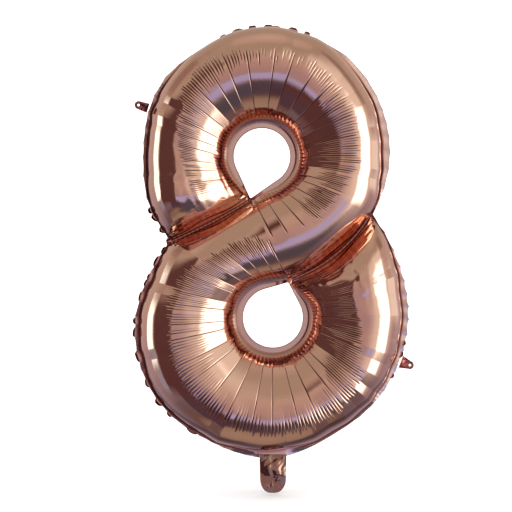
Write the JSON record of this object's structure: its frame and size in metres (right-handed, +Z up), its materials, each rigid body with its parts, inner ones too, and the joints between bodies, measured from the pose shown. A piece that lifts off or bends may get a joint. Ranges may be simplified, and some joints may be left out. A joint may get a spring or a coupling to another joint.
{
  "type": "foil number balloon",
  "caption": "Foil number balloon shaped as a figure eight: an inflated, heat-welded film limb with a filling tail, a flat valve and hanging tabs.",
  "frame": {"origin": "lowest point of the outline's rim, in the plane of the welds, where the filling tail is tied", "axes": "+X to the right seen from the front, +Z up through the eyes, +Y to the back, away from the viewer"},
  "size_m": [0.5634, 0.1878, 0.9414],
  "materials": {
    "panel_foil": "mirror-bright rose-gold metallised film, blown taut, with fine radial pleats",
    "weld_foil": "fused double film, puckered, rose-gold",
    "tail_foil": "crumpled rose-gold metallised film, glossy",
    "valve_film": "clear polyethylene film, flat",
    "tab_foil": "fused double film, slightly crumpled, rose-gold"
  },
  "bodies": {
    "balloon": {"front_panel": "panel_foil", "back_panel": "panel_foil", "upper_outline_weld": "weld_foil", "lower_outline_weld": "weld_foil", "upper_eye_weld": "weld_foil", "lower_eye_weld": "weld_foil", "left_waist_weld": "weld_foil", "right_waist_weld": "weld_foil", "valve_sleeve_front": "valve_film", "valve_sleeve_back": "valve_film"},
    "tail_neck": {"neck_front_ply": "tail_foil", "neck_back_ply": "tail_foil", "neck_side_welds": "tail_foil", "valve_mouth_front": "valve_film", "valve_mouth_back": "valve_film"},
    "tail_mouth": {"mouth_front_ply": "tail_foil", "mouth_back_ply": "tail_foil", "mouth_side_welds": "tail_foil"},
    "left_tab": {"left_hanging_tab": "tab_foil"},
    "right_tab": {"right_hanging_tab": "tab_foil"}
  },
  "joints": [
    {"name": "root_fold", "type": "hinge", "parent": "balloon", "child": "tail_neck", "pos_m": [0, 0, -0.0015], "axis": [1, 0, 0], "range_deg": [-75, 75]},
    {"name": "middle_fold", "type": "hinge", "parent": "tail_neck", "child": "tail_mouth", "pos_m": [0, 0, -0.0355], "axis": [1, 0, 0], "range_deg": [-75, 75]},
    {"name": "left_tab_fold", "type": "hinge", "parent": "balloon", "child": "left_tab", "pos_m": [-0.25073, 0, 0.70298], "axis": [0.3002, 0, 0.9539], "range_deg": [-85, 85]},
    {"name": "right_tab_fold", "type": "hinge", "parent": "balloon", "child": "right_tab", "pos_m": [0.25666, 0, 0.19376], "axis": [-0.3597, 0, -0.9331], "range_deg": [-85, 85]}
  ]
}
